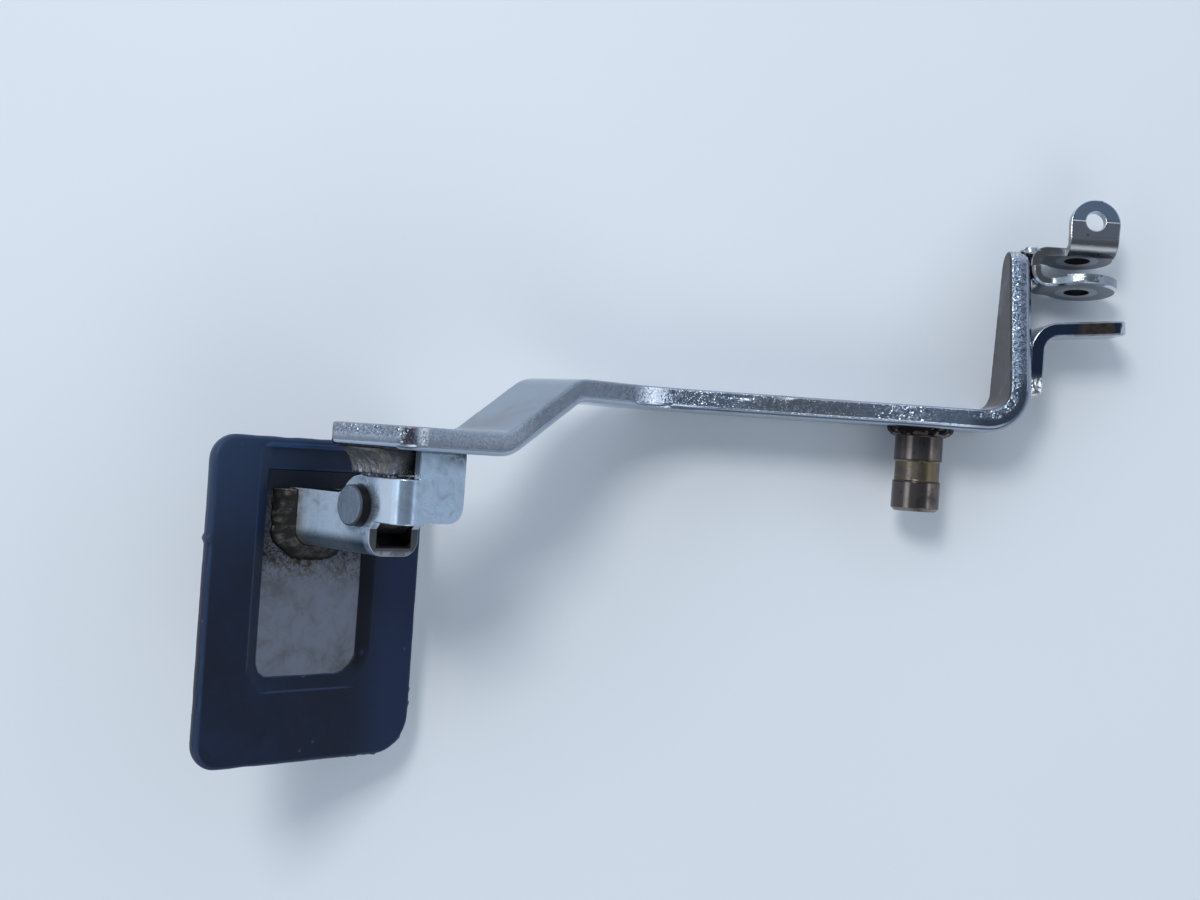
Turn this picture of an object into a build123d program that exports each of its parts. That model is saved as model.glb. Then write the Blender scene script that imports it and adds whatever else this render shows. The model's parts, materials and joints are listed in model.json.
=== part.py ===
import os
from math import cos, radians, sin, tan

from build123d import *

os.makedirs("parts", exist_ok=True)

# Lever bar
bar_thickness = 5.4
bar_width = 22.0
kink_distance = 70.5
kink_angle = 41.0
kink_radius = 38.0
joggle_start = 29.4
joggle_run = 20.0
joggle_drop = 14.2
joggle_radius = 8.0
front_length = 84.5
front_end_slant = 6.6
front_near_corner = 5.0
front_far_corner = 1.5
die_roll = 1.0
bar_edge_break = 0.35

# Bent-up arm at the rear end
arm_distance = 24.9
arm_height = 46.6
arm_bend_inside = 5.0
arm_tip_radius = 4.7
arm_tip_shift = -2.3
arm_taper_start = 12.0
arm_taper_round = 20.0

# Pivot shaft
shaft_diameter = 12.0
shaft_length = 21.0
shaft_chamfer = 0.8
groove_start = 8.2
groove_width = 5.4
groove_depth = 0.4
shaft_weld_leg = 2.1

# Clevis on the arm
clevis_sheet = 2.2
clevis_gap = 6.0
clevis_reach = 12.6
clevis_from_tip = 4.3
clevis_tilt = 8.0
clevis_neck = 10.0
clevis_ear_radius = 8.5
clevis_outer_radius = 9.0
clevis_outer_shift = 0.9
clevis_edge_break = 0.6
clevis_boss = 0.6
clevis_boss_start = -4.5
clevis_bore = 6.1
clevis_inside_radius = 2.0
clevis_neck_fillet = 3.0
clevis_weld_width = 4.6
clevis_weld_height = 2.0
clevis_weld_length = 6.5

# Spring eye on the clevis
eye_width = 12.4
eye_base_trim = 0.9
eye_shift = 2.35
eye_face = 7.5
eye_top = 17.1
eye_hole = 5.0
eye_hole_height = 11.6
eye_bend_inside = 1.5

# Bent strip on the arm
strip_thickness = 3.5
strip_width = 14.0
strip_foot = 9.0
strip_height = 26.2
strip_reach = 23.5
strip_rise = 2.1
strip_bend_inside = 3.5
strip_foot_cut = 1.6
strip_end_corner = 2.0
strip_edge_break = 0.35

# Hinge of the pad
hinge_from_end = 15.28
hinge_offset = 9.62
hinge_drop = 13.2
pad_angle = 45.0
pin_diameter = 9.4
pin_proud = 2.75
pin_head_diameter = 13.0
pin_head_height = 2.5
pin_edge = 0.4
running_clearance = 0.05
side_clearance = 0.3

# Lug on the lever
lug_thickness = 9.0
lug_radius = 6.5
lug_base_bottom = 0.0
lug_base_top = 12.0
lug_base_depth = 2.0
lug_foot_front = 13.6
lug_foot_waist = 9.2
lug_foot_hollow = 1.2
lug_foot_gap = 0.8
lug_foot_setback = 0.6
lug_foot_bottom = -0.5

# Pad bracket
bracket_sheet = 2.2
bracket_corner = 4.0
bracket_wall_offset = 11.2
bracket_rim_height = 4.7
bracket_ear_radius = 6.8
bracket_trunk_edge = 2.3
bracket_trunk_fillet = 4.0
bracket_free_edge = 3.4
bracket_weld_leg = 4.0
tab_height = 16.1
tab_back = 10.3
tab_front = 2.7
tab_low_edge = 2.8
tab_corner = 4.0
tab_bend_inside = 2.0
tab_relief = 0.6
stop_gap = 0.05

# Plate and rubber
plate_distance = 27.4
plate_thickness = 2.5
plate_inset = 5.0
plate_inner_inset = 7.9
plate_corner = 4.0
pad_front = 29.0
pad_back = 32.3
pad_inner = 14.2
pad_outer = 63.8
pad_thickness = 6.4
pad_lip = 1.8
pad_front_corner = 6.0
pad_back_corner = 10.0
pad_top_round = 5.2
pad_under_edge = 0.5
window_front = 12.9
window_back = 14.8
window_outer = 42.4
window_bevel = 3.8
window_rim = 1.9
window_front_corner = 3.0
window_back_corner = 5.5

# How near two places lie to count as the same
tiny = 0.01


def side_line(points, radius, shift):
    verts = [Vector(*p) for p in points]
    dirs = [(b - a).normalized() for a, b in zip(verts, verts[1:])]
    normals = [Vector(-d.Y, d.X, 0) for d in dirs]
    moved = [verts[0] + normals[0] * shift]
    radii = []
    for i in range(1, len(verts) - 1):
        n0 = normals[i - 1]
        n1 = normals[i]
        moved.append(verts[i] + (n0 + n1) * (shift / (1 + n0.dot(n1))))
        turn = dirs[i - 1].cross(dirs[i]).Z
        radii.append(radius - shift if turn > 0 else radius + shift)
    moved.append(verts[-1] + normals[-1] * shift)
    return FilletPolyline(*moved, radius=radii)


def strip(points, radius, width):
    left = side_line(points, radius, width / 2)
    right = side_line(points, radius, -width / 2)
    ends = [Line(left @ 0, right @ 0).edge(), Line(left @ 1, right @ 1).edge()]
    return make_face(left.edges() + right.edges() + ends)


def block(x0, x1, y0, y1, z0, z1):
    centre = Location(((x0 + x1) / 2, (y0 + y1) / 2, (z0 + z1) / 2))
    return centre * Box(x1 - x0, y1 - y0, z1 - z0)


def rect(x0, x1, y0, y1):
    return Location(((x0 + x1) / 2, (y0 + y1) / 2, 0)) * Rectangle(x1 - x0, y1 - y0)


def cyl_x(radius, x0, x1):
    turned = Rot(0, 90, 0) * Cylinder(radius, x1 - x0)
    return Location(((x0 + x1) / 2, 0, 0)) * turned


def square_edges(shape, wanted):
    # Edges between faces that meet squarely, where one of the faces looks the wanted way
    owners = {}
    for face in shape.faces():
        for edge in face.edges():
            owners.setdefault(edge, []).append(face)
    picked = []
    for edge, faces in owners.items():
        normals = [face.normal_at(edge @ 0.5) for face in faces]
        if len(normals) == 2 and normals[0].dot(normals[1]) < 0.5:
            if wanted(normals[0]) or wanted(normals[1]):
                picked.append(edge)
    return picked


# Frames: the bar's front run, and the pad about its hinge line
rise_cos = cos(radians(kink_angle))
rise_sin = sin(radians(kink_angle))
front_plane = Plane(
    origin=(-kink_distance, 0, 0),
    x_dir=(-rise_cos, 0, rise_sin),
    z_dir=(-rise_sin, 0, -rise_cos),
)
front_face_y = -joggle_drop
hinge_y = front_face_y - hinge_drop
hinge_along = front_length - hinge_from_end
hinge_x = -kink_distance - hinge_along * rise_cos - hinge_offset * rise_sin
hinge_z = hinge_along * rise_sin - hinge_offset * rise_cos
pad_cos = cos(radians(pad_angle))
pad_sin = sin(radians(pad_angle))
pad_plane = Plane(
    origin=(hinge_x, hinge_y, hinge_z),
    x_dir=(pad_cos, 0, -pad_sin),
    z_dir=(pad_sin, 0, pad_cos),
)


def past_front_end(setback):
    # All that lies beyond the slanted end of the bar, drawn well past both of its sides
    far_point = front_length + front_end_slant / 2 - setback
    near_point = far_point - 2 * front_end_slant
    beyond = front_length + bar_width
    corners = [
        (far_point, bar_width),
        (near_point, -bar_width),
        (beyond, -bar_width),
        (beyond, bar_width),
    ]
    waste = Plane.XZ * make_face(Polyline(*corners, close=True))
    return front_plane.location * extrude(waste, amount=2 * bar_width, both=True)


# Lever arm: flat run with the kink, offset front run, bent-up rear arm
mid = bar_thickness / 2
kink_tangent = kink_radius * tan(radians(kink_angle / 2))
flat_start = -kink_distance + kink_tangent + bar_width
flat_end = kink_tangent + 1.0
flat_path = [
    (flat_start, 0),
    (-kink_distance, 0),
    (-kink_distance - flat_end * rise_cos, flat_end * rise_sin),
]
flat_run = extrude(Plane.XZ * strip(flat_path, kink_radius, bar_width), amount=-bar_thickness)

front_path = [
    (kink_tangent, mid),
    (joggle_start, mid),
    (joggle_start + joggle_run, mid - joggle_drop),
    (front_length, mid - joggle_drop),
]
front_run = extrude(
    front_plane * strip(front_path, joggle_radius, bar_thickness), amount=bar_width / 2, both=True
)
front_run -= past_front_end(0)
end_edges = front_run.edges().filter_by(Axis.Y).sort_by(Axis.X)
front_run = fillet(end_edges[1], front_near_corner)
end_edges = front_run.edges().filter_by(Axis.Y).sort_by(Axis.X)
front_run = fillet(end_edges[0], front_far_corner)

arm_mid = arm_distance - mid
arm_path = [(flat_start - 1.0, mid), (arm_mid, mid), (arm_mid, arm_height)]
rear_run = extrude(strip(arm_path, arm_bend_inside + mid, bar_thickness), amount=bar_width / 2, both=True)
base = rect(-1.0, arm_taper_start, -bar_width / 2, bar_width / 2)
tip_place = Location((arm_height - arm_tip_radius, arm_tip_shift, 0), (0, 0, 180))
arm_outline = make_hull(base.edges() + (tip_place * Circle(arm_tip_radius)).edges())
taper_corners = [v for v in arm_outline.vertices() if abs(v.X - arm_taper_start) < tiny]
arm_outline = fillet(taper_corners, arm_taper_round)
arm_blank = Plane.YZ * arm_outline
arm_limits = extrude(arm_blank, amount=arm_distance + 5.0)
arm_limits += extrude(arm_blank, amount=-(abs(flat_start) + 5.0))
rear_run = rear_run & arm_limits
lever_arm = flat_run + front_run + rear_run
rolled = square_edges(lever_arm, lambda n: n.Y < -0.5 or n.X > 0.9)
lever_arm = chamfer(rolled, die_roll)
burred = square_edges(lever_arm, lambda n: n.Y > 0.5 or n.X < -0.9)
lever_arm = chamfer(burred, bar_edge_break)

# Pivot shaft with its weld bead, square to the lever's outer face
shaft_r = shaft_diameter / 2
groove_r = shaft_r - groove_depth
bead_foot = (shaft_r + shaft_weld_leg, 0)
bead_top = (shaft_r, -shaft_weld_leg)
bead_full = 0.85 * shaft_weld_leg
bead_slim = 0.4 * shaft_weld_leg
shaft_side = Polyline(
    bead_foot,
    (shaft_r + bead_full, -bead_slim),
    (shaft_r + bead_slim, -bead_full),
    bead_top,
    (shaft_r, -groove_start),
    (groove_r, -groove_start - groove_depth),
    (groove_r, -groove_start - groove_width + groove_depth),
    (shaft_r, -groove_start - groove_width),
    (shaft_r, -shaft_length + shaft_chamfer),
    (shaft_r - shaft_chamfer, -shaft_length),
    (0, -shaft_length),
    (0, 0),
    close=True,
)
pivot_shaft = revolve(make_face(shaft_side), Axis.Y)

# Clevis bracket, drawn about the centre of its bore
clevis_height = arm_height - clevis_from_tip
tilt_cos = cos(radians(clevis_tilt))
tilt_sin = sin(radians(clevis_tilt))
clevis_plane = Plane(
    origin=(arm_distance + clevis_reach, clevis_height, arm_tip_shift),
    x_dir=(1, 0, 0),
    z_dir=(0, tilt_sin, tilt_cos),
)
half_gap = clevis_gap / 2
ear_mid = half_gap + clevis_sheet / 2
wall_mid = -clevis_reach + clevis_sheet / 2
ear_end = clevis_outer_radius + clevis_outer_shift + 2.0
u_path = [(ear_end, -ear_mid), (wall_mid, -ear_mid), (wall_mid, ear_mid), (ear_end, ear_mid)]
u_bend = clevis_inside_radius + clevis_sheet / 2
u_body = extrude(strip(u_path, u_bend, clevis_sheet), amount=ear_end, both=True)


def ear_limits(radius, shift, depth):
    plan = rect(-clevis_reach, shift, -clevis_neck / 2, clevis_neck / 2)
    plan += Location((shift, 0, 0)) * Circle(radius)
    waist = plan.vertices().filter_by_position(Axis.X, -radius, -1.0)
    plan = fillet(waist, clevis_neck_fillet)
    return Rot(90, 0, 0) * extrude(plan, amount=depth)


ear_depth = half_gap + clevis_sheet + 1.0
limits = ear_limits(clevis_ear_radius, 0, -ear_depth)
limits += ear_limits(clevis_outer_radius, clevis_outer_shift, ear_depth)
clevis = u_body & limits
outer_side = square_edges(clevis, lambda n: n.Y < -0.9)
outer_side = [e for e in outer_side if (e @ 0.5).Y < -half_gap - clevis_sheet / 2]
clevis = chamfer(outer_side, clevis_edge_break)
boss_plan = Location((clevis_outer_shift, 0, 0)) * Circle(clevis_outer_radius)
boss_plan &= rect(clevis_boss_start, ear_end, -ear_end, ear_end)
boss = Rot(90, 0, 0) * extrude(boss_plan, amount=-clevis_boss)
clevis += Location((0, -half_gap, 0)) * boss

eye_bend = eye_bend_inside + clevis_sheet / 2
eye_mid = eye_face - clevis_sheet / 2
eye_left = eye_shift - eye_width / 2
eye_right = eye_shift + eye_width / 2
bend_line = eye_face - clevis_sheet - eye_bend_inside
clevis -= block(-clevis_reach, ear_end, 0, ear_depth, bend_line, ear_end)
eye_path = [(ear_mid, 0), (ear_mid, eye_mid), (eye_top, eye_mid)]
eye = extrude(Plane.YZ * strip(eye_path, eye_bend, clevis_sheet), amount=eye_right)
eye += extrude(Plane.YZ * strip(eye_path, eye_bend, clevis_sheet), amount=eye_left)
eye_radius = eye_width / 2
eye_centre = eye_top - eye_radius
eye_base = rect(eye_left, eye_right - eye_base_trim, 0, half_gap + clevis_sheet)
eye_head = Location((eye_shift, eye_centre, 0), (0, 0, -90)) * Circle(eye_radius)
eye_front = make_hull(eye_base.edges() + eye_head.edges())
eye &= extrude(eye_front, amount=eye_face + 1.0)
eye &= block(eye_left, eye_right, 0, eye_top, bend_line, eye_face)
clevis += eye
clevis -= Rot(90, 0, 0) * Cylinder(clevis_bore / 2, 2 * ear_depth)
clevis -= Location((eye_shift, eye_hole_height, eye_mid)) * Cylinder(eye_hole / 2, 2 * clevis_sheet)
clevis_bracket = clevis_plane.location * clevis

bead_plan = Ellipse(clevis_weld_width / 2, clevis_weld_height / 2)
bead = Rot(-clevis_tilt, 0, 0) * extrude(bead_plan, amount=clevis_weld_length / 2, both=True)
bead_drop = half_gap + clevis_sheet - clevis_weld_height / 2
top_bead = Location((arm_distance, clevis_height + bead_drop, arm_tip_shift)) * bead
clevis_weld_top = top_bead - clevis_bracket - lever_arm
low_bead = Location((arm_distance, clevis_height - bead_drop, arm_tip_shift)) * bead
clevis_weld_bottom = low_bead - clevis_bracket - lever_arm

# Bent strip on the arm
strip_mid = arm_distance + strip_thickness / 2
strip_path = [
    (strip_mid, strip_foot),
    (strip_mid, strip_height),
    (arm_distance + strip_reach, strip_height + strip_rise),
]
strip_bend = strip_bend_inside + strip_thickness / 2
strip_face = strip(strip_path, strip_bend, strip_thickness)
foot_cut = Polyline(
    (arm_distance, strip_foot),
    (arm_distance + strip_thickness, strip_foot),
    (arm_distance + strip_thickness, strip_foot + strip_foot_cut),
    close=True,
)
strip_face -= make_face(foot_cut)
switch_tab = extrude(strip_face, amount=strip_width / 2, both=True)
end_edges = switch_tab.faces().sort_by(Axis.X)[-1].edges()
end_corners = [e for e in end_edges if abs((e @ 0.5).Z) > strip_width / 2 - tiny]
switch_tab = fillet(end_corners, strip_end_corner)
broken = square_edges(switch_tab, lambda n: abs(n.Z) > 0.9)
broken = [e for e in broken if (e @ 0.5).X > arm_distance + strip_edge_break]
switch_tab = chamfer(broken, strip_edge_break)

# Hinge lug, drawn in the pad's frame about the hinge line
lug_gap = lug_thickness + 2 * side_clearance
lug_base = rect(hinge_drop - lug_base_depth, hinge_drop, lug_base_bottom, lug_base_top)
lug_outline = make_hull(Circle(lug_radius).edges() + lug_base.edges())
lug = extrude(Plane.YZ * lug_outline, amount=lug_thickness / 2, both=True)
lug_back = lug_thickness / 2
foot_level = bracket_ear_radius + lug_foot_gap
foot_tip = (-lug_foot_front, hinge_drop)
foot_waist = (-lug_foot_waist, foot_level)
foot_side = Polyline(foot_waist, (lug_back, foot_level), (lug_back, hinge_drop), foot_tip)
foot_face = make_face([SagittaArc(foot_tip, foot_waist, lug_foot_hollow).edge()] + foot_side.edges())
foot_height = lug_base_top - lug_foot_bottom
lug += Location((0, 0, lug_foot_bottom)) * extrude(foot_face, amount=foot_height)
lug -= cyl_x(pin_diameter / 2 + running_clearance, -lug_thickness, lug_thickness)
hinge_lug = pad_plane.location * lug - past_front_end(lug_foot_setback)

# Pad bracket: channel, outlines of its webs, bend and stop tab
web_in = lug_gap / 2
web_out = web_in + bracket_sheet
channel_path = [
    (-web_in - bracket_sheet / 2, pad_inner),
    (-web_in - bracket_sheet / 2, -bracket_wall_offset + bracket_sheet / 2),
    (web_in + bracket_sheet / 2, -bracket_wall_offset + bracket_sheet / 2),
    (web_in + bracket_sheet / 2, pad_inner),
]
channel_face = strip(channel_path, bracket_corner - bracket_sheet / 2, bracket_sheet)
channel = extrude(channel_face, amount=tab_height)
channel += extrude(channel_face, amount=-plate_distance)
trunk = rect(-bracket_wall_offset, bracket_trunk_edge, -plate_distance, bracket_rim_height)
ear = Circle(bracket_ear_radius)
waist_side = trunk + ear
waist = waist_side.vertices().filter_by_position(Axis.Y, -bracket_ear_radius, -1.0)
waist = [v for v in waist if abs(v.X - bracket_trunk_edge) < tiny]
side_outline = fillet(waist, bracket_trunk_fillet)
tab_bend = tab_bend_inside + bracket_sheet / 2
bend_start = tab_height - bracket_sheet - tab_bend_inside
neck_outline = rect(-bracket_free_edge, bracket_ear_radius, 0, bend_start)
front_outline = side_outline + neck_outline
front_limits = extrude(Plane.YZ * front_outline, amount=-web_out)
rear_limits = extrude(Plane.YZ * side_outline, amount=web_out)
bracket = channel & (front_limits + rear_limits)

tab_mid = tab_height - bracket_sheet / 2
web_mid = -web_in - bracket_sheet / 2
bend_path = [(web_mid, bend_start - 1.0), (web_mid, tab_mid), (web_mid + tab_bend + 2.0, tab_mid)]
bend_face = Plane.XZ * strip(bend_path, tab_bend, bracket_sheet)
bend = extrude(bend_face, amount=bracket_free_edge) + extrude(bend_face, amount=-bracket_ear_radius)
bend -= block(-web_out, 0, -bracket_free_edge, bracket_ear_radius, 0, bend_start)
tab_inner = hinge_drop - stop_gap
tab_plan = rect(-tab_front, tab_back, -tab_low_edge, tab_inner)
low_corner = tab_plan.vertices().sort_by(Axis.Y)[:2].sort_by(Axis.X)[-1]
tab_plan = fillet(low_corner, tab_corner)
bend_end = web_mid + tab_bend
tab_plan -= rect(-web_out, bend_end, -bracket_free_edge - 1.0, bracket_ear_radius + tab_relief)
tab = Location((0, 0, tab_height - bracket_sheet)) * extrude(tab_plan, amount=bracket_sheet)
bracket += bend + tab
bracket -= cyl_x(pin_diameter / 2, -web_out - 1.0, web_out + 1.0)
pad_bracket = pad_plane.location * bracket

# Weld between channel and plate, open on the lever's side
foot = rect(-web_out, web_out, -bracket_wall_offset, bracket_trunk_edge)
foot_corners = foot.vertices().sort_by(Axis.Y)[:2]
foot = fillet(foot_corners, bracket_corner)
skirt = offset(foot, bracket_weld_leg)
weld = extrude(skirt, amount=bracket_weld_leg, taper=45)
weld -= extrude(foot, amount=bracket_weld_leg)
weld_limit = web_out + 2 * bracket_weld_leg
weld -= block(-weld_limit, weld_limit, bracket_trunk_edge, bracket_trunk_edge + weld_limit, -1, weld_limit)
weld = Location((0, 0, -plate_distance)) * weld
bracket_weld = pad_plane.location * weld

# Hinge pin with its head behind the rear web
shank = cyl_x(pin_diameter / 2, -web_out - pin_proud, web_out)
shank = chamfer(shank.edges().sort_by(Axis.X)[0], pin_edge)
head = cyl_x(pin_head_diameter / 2, web_out, web_out + pin_head_height)
head = chamfer(head.edges().sort_by(Axis.X)[-1], pin_edge)
hinge_pin = pad_plane.location * (shank + head)

# Plate inside the rubber
plate_face = rect(
    -pad_front + plate_inset,
    pad_back - plate_inset,
    -pad_outer + plate_inset,
    pad_inner - plate_inner_inset,
)
plate_face = fillet(plate_face.vertices(), plate_corner)
plate = Location((0, 0, -plate_distance - plate_thickness)) * extrude(plate_face, amount=plate_thickness)
pad_plate = pad_plane.location * plate

# Rubber moulded round the plate, with the bevelled window in its underside
rubber_face = rect(-pad_front, pad_back, -pad_outer, pad_inner)
corners = rubber_face.vertices().sort_by(Axis.X)
rubber_face = fillet(corners[:2], pad_front_corner)
corners = rubber_face.vertices().sort_by(Axis.X)[-4:]
square = [v for v in corners if abs(v.X - pad_back) < tiny]
rubber_face = fillet(square, pad_back_corner)
lip_level = -plate_distance + pad_lip
rubber = Location((0, 0, lip_level - pad_thickness)) * extrude(rubber_face, amount=pad_thickness)
top_edges = rubber.faces().sort_by(Axis.Z)[0].edges()
rubber = fillet(top_edges, pad_top_round)
under_edges = rubber.faces().sort_by(Axis.Z)[-1].edges()
rubber = chamfer(under_edges, pad_under_edge)
window = rect(-window_front, window_back, -window_outer, pad_inner + 2 * window_bevel)
outer_corners = window.vertices().sort_by(Axis.Y)[:2].sort_by(Axis.X)
window = fillet(outer_corners[0], window_front_corner)
outer_corners = window.vertices().sort_by(Axis.Y)
square = [v for v in outer_corners if abs(v.X - window_back) < tiny and abs(v.Y + window_outer) < tiny]
window = fillet(square, window_back_corner)
wide = offset(window, window_bevel)
bevel = loft([window, Location((0, 0, pad_lip)) * wide])
bevel += Location((0, 0, pad_lip)) * extrude(wide, amount=1.0)
bevel &= block(-pad_front, pad_back, -pad_outer, pad_inner - window_rim, -pad_lip, 2 * pad_lip)
rubber -= Location((0, 0, -plate_distance)) * bevel
rubber -= plate
rubber_pad = pad_plane.location * rubber

pieces = {
    "lever_arm": lever_arm,
    "pivot_shaft": pivot_shaft,
    "clevis_bracket": clevis_bracket,
    "clevis_weld_top": clevis_weld_top,
    "clevis_weld_bottom": clevis_weld_bottom,
    "switch_tab": switch_tab,
    "hinge_lug": hinge_lug,
    "pad_bracket": pad_bracket,
    "bracket_weld": bracket_weld,
    "hinge_pin": hinge_pin,
    "pad_plate": pad_plate,
    "rubber_pad": rubber_pad,
}

# The row's origin is on the pivot line, where the bearing length of the shaft starts
shoulder = Location((0, shaft_weld_leg, 0))
for name, shape in pieces.items():
    shape = shoulder * shape
    box = shape.bounding_box()
    print(name, len(shape.solids()), round(shape.volume, 1), box.min, box.max)
    export_step(shape, "parts/" + name + ".step")
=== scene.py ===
import json
import math

import bmesh
import bpy
from mathutils import Matrix, Vector, noise
from mathutils.bvhtree import BVHTree


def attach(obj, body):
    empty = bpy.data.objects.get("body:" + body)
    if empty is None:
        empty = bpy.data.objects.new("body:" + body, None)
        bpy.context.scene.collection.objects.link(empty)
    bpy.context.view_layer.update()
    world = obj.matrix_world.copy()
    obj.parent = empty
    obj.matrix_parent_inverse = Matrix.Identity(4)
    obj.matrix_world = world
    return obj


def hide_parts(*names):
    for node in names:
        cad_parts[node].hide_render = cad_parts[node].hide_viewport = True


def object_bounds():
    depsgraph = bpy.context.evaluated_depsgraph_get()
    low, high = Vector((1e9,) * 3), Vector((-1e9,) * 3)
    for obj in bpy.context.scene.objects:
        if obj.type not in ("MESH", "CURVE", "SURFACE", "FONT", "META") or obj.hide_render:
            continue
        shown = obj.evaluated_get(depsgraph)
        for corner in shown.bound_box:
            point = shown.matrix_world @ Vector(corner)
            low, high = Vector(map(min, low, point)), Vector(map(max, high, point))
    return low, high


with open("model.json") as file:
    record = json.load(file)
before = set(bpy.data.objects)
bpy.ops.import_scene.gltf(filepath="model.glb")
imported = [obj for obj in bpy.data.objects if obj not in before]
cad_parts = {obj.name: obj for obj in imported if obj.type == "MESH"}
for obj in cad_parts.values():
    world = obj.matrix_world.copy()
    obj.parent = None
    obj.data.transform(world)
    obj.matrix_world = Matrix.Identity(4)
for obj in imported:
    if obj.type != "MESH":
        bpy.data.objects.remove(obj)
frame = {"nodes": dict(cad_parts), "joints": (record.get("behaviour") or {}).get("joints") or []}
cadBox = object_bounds()
nodes = frame["nodes"]
mm = 0.001
print("frame loaded:", len(nodes), "nodes")


def inMm(*lengths):
    return tuple(length * mm for length in lengths)


def within(value):  # held between nought and one
    return min(max(value, 0.0), 1.0)


# Small helpers for node trees

def addNode(tree, kind, settings=None, ins=None):
    node = tree.nodes.new("ShaderNode" + kind)
    for key, value in (settings or {}).items():
        setattr(node, key, value)
    for key, value in (ins or {}).items():
        if isinstance(value, bpy.types.NodeSocket):
            tree.links.new(value, node.inputs[key])
        else:
            node.inputs[key].default_value = value
    return node


def plug(tree, sockets, **values):
    for key, value in values.items():
        tree.links.new(value, sockets[key.replace("_", " ")])


def maths(tree, operation, *values):
    return addNode(tree, "Math", {"operation": operation}, dict(enumerate(values))).outputs[0]


def times(tree, first, *more):
    for value in more:
        first = maths(tree, "MULTIPLY", first, value)
    return first


def most(tree, first, *more):
    for value in more:
        first = maths(tree, "MAXIMUM", first, value)
    return first


def less(tree, value):  # one minus the value
    return maths(tree, "SUBTRACT", 1.0, value)


def raised(tree, mask, gain, base):  # the base, with the gain added where the mask is
    return maths(tree, "MULTIPLY_ADD", mask, gain, base)


def reach(tree, first, second):  # how far out a point lies over two axes
    squares = maths(tree, "ADD", times(tree, first, first), times(tree, second, second))
    return maths(tree, "SQRT", squares)


def fade(tree, value, start, end, low=0.0, high=1.0):  # smooth step from start to end
    ins = {0: value, 1: start, 2: end, 3: low, 4: high}
    return addNode(tree, "MapRange", {"interpolation_type": "SMOOTHSTEP"}, ins).outputs[0]


def band(tree, value, low, high, soft):  # one between low and high
    rise = fade(tree, value, low - soft, low + soft)
    return times(tree, rise, fade(tree, value, high + soft, high - soft))


def tint(tree, mask, under, over):
    return addNode(tree, "Mix", {"data_type": "RGBA"}, {0: mask, 6: under, 7: over}).outputs[2]


def painted(tree, colour, settings, layers):  # each layer has its colour, its share and its masks
    for name, share, *masks in layers:
        over = settings[name] if isinstance(name, str) else name
        colour = tint(tree, times(tree, *masks, share), colour, over)
    return colour


def axes(tree, vector):
    return addNode(tree, "SeparateXYZ", ins={0: vector}).outputs


def vectors(tree, operation, *values, **more):
    ins = {**dict(enumerate(values)), **more}
    return addNode(tree, "VectorMath", {"operation": operation}, ins).outputs


def dotted(tree, vector, way):
    return vectors(tree, "DOT_PRODUCT", vector, way)["Value"]


def place(tree):  # where a point lies on the piece, in metres
    return addNode(tree, "TexCoord").outputs["Object"]


def facing(tree):  # which way the surface looks, on the piece
    return addNode(tree, "TexCoord").outputs["Normal"]


def looking(tree, way):  # how much the surface looks that way
    return dotted(tree, facing(tree), way)


def plainNormal(tree):
    return addNode(tree, "NewGeometry").outputs["Normal"]


def clouds(tree, vector, scale, **more):
    return addNode(tree, "TexNoise", ins={"Vector": vector, "Scale": scale, **more}).outputs


def cells(tree, vector, scale):
    return addNode(tree, "TexVoronoi", ins={"Vector": vector, "Scale": scale}).outputs


def thick(tree, cloud, middle, amount, softness):  # one where the cloud is thick enough
    low = maths(tree, "SUBTRACT", middle, times(tree, amount, 0.5))
    return fade(tree, cloud, low, maths(tree, "ADD", low, softness))


def newGroup(name, ins, outs):
    group = bpy.data.node_groups.new(name, "ShaderNodeTree")
    for label, value in ins.items():
        socket = group.interface.new_socket(label, in_out="INPUT", socket_type="NodeSocketFloat")
        socket.default_value = value
    for label, kind in outs.items():
        group.interface.new_socket(label, in_out="OUTPUT", socket_type="NodeSocket" + kind)
    start = group.nodes.new("NodeGroupInput").outputs
    end = group.nodes.new("NodeGroupOutput").inputs
    return group, start, end


def useGroup(tree, group, **ins):
    return addNode(tree, "Group", {"node_tree": group}, ins).outputs


# Shared effects

def makeSpots():  # round spots in some of the cells of a random pattern
    ins = {"Scale": 900.0, "Share": 0.3, "Size": 0.4}
    group, start, end = newGroup("spots", ins, {"Mask": "Float"})
    cell = cells(group, place(group), start["Scale"])
    pick = maths(group, "LESS_THAN", axes(group, cell["Color"])[0], start["Share"])
    inner = times(group, start["Size"], 0.45)
    dot = fade(group, cell["Distance"], start["Size"], inner)
    plug(group, end, Mask=times(group, pick, dot))
    return group


def makeStains():  # cloudy patches
    ins = {"Scale": 60.0, "Amount": 0.4, "Softness": 0.15}
    group, start, end = newGroup("stains", ins, {"Mask": "Float"})
    cloud = clouds(group, place(group), start["Scale"], Detail=8.0, Roughness=0.62, Distortion=0.7)[0]
    plug(group, end, Mask=thick(group, cloud, 0.75, start["Amount"], start["Softness"]))
    return group


def makeGrain():  # fine rough grain, as height and as a mask
    outs = {"Height": "Float", "Mask": "Float"}
    group, start, end = newGroup("grain", {"Scale": 1500.0, "Bite": 0.5}, outs)
    spot = place(group)
    cloud = clouds(group, spot, start["Scale"], Detail=3.0, Roughness=0.6)[0]
    cell = cells(group, spot, times(group, start["Scale"], 0.7))["Distance"]
    mixed = addNode(group, "Mix", ins={0: start["Bite"], 2: cloud, 3: cell}).outputs[0]
    plug(group, end, Height=mixed, Mask=fade(group, mixed, 0.35, 0.6))
    return group


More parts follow.
